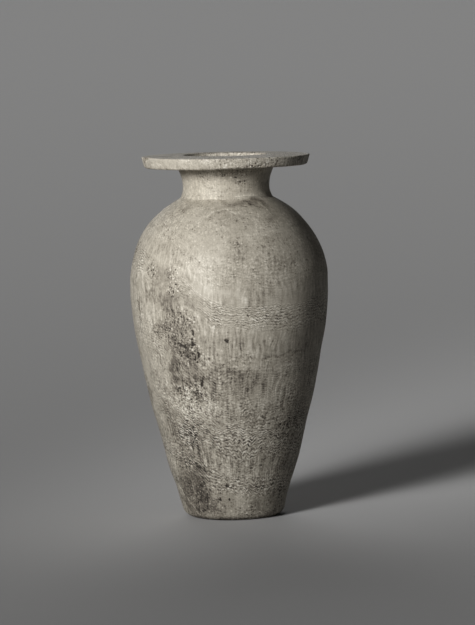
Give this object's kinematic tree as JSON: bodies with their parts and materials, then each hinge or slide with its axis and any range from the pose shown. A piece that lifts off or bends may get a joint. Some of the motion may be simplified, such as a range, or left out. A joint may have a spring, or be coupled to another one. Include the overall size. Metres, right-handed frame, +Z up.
{
  "type": "shouldered jar",
  "caption": "Tall shouldered jar turned from one block of banded calcite, hollow, with a short waisted neck, a broad disc rim and a small flat foot.",
  "frame": {"origin": "middle of the flat underside, on the surface that the jar stands on", "axes": "+Z up along the jar's axis of turning, -Y towards the side that the picture shows, -X to that side's left, where the rim's edge has a lost flake"},
  "size_m": [0.164, 0.164, 0.3],
  "materials": {
    "calcite": "worn satin polish, banded cream and grey"
  },
  "bodies": {
    "root": {"jar": "calcite"}
  },
  "joints": []
}
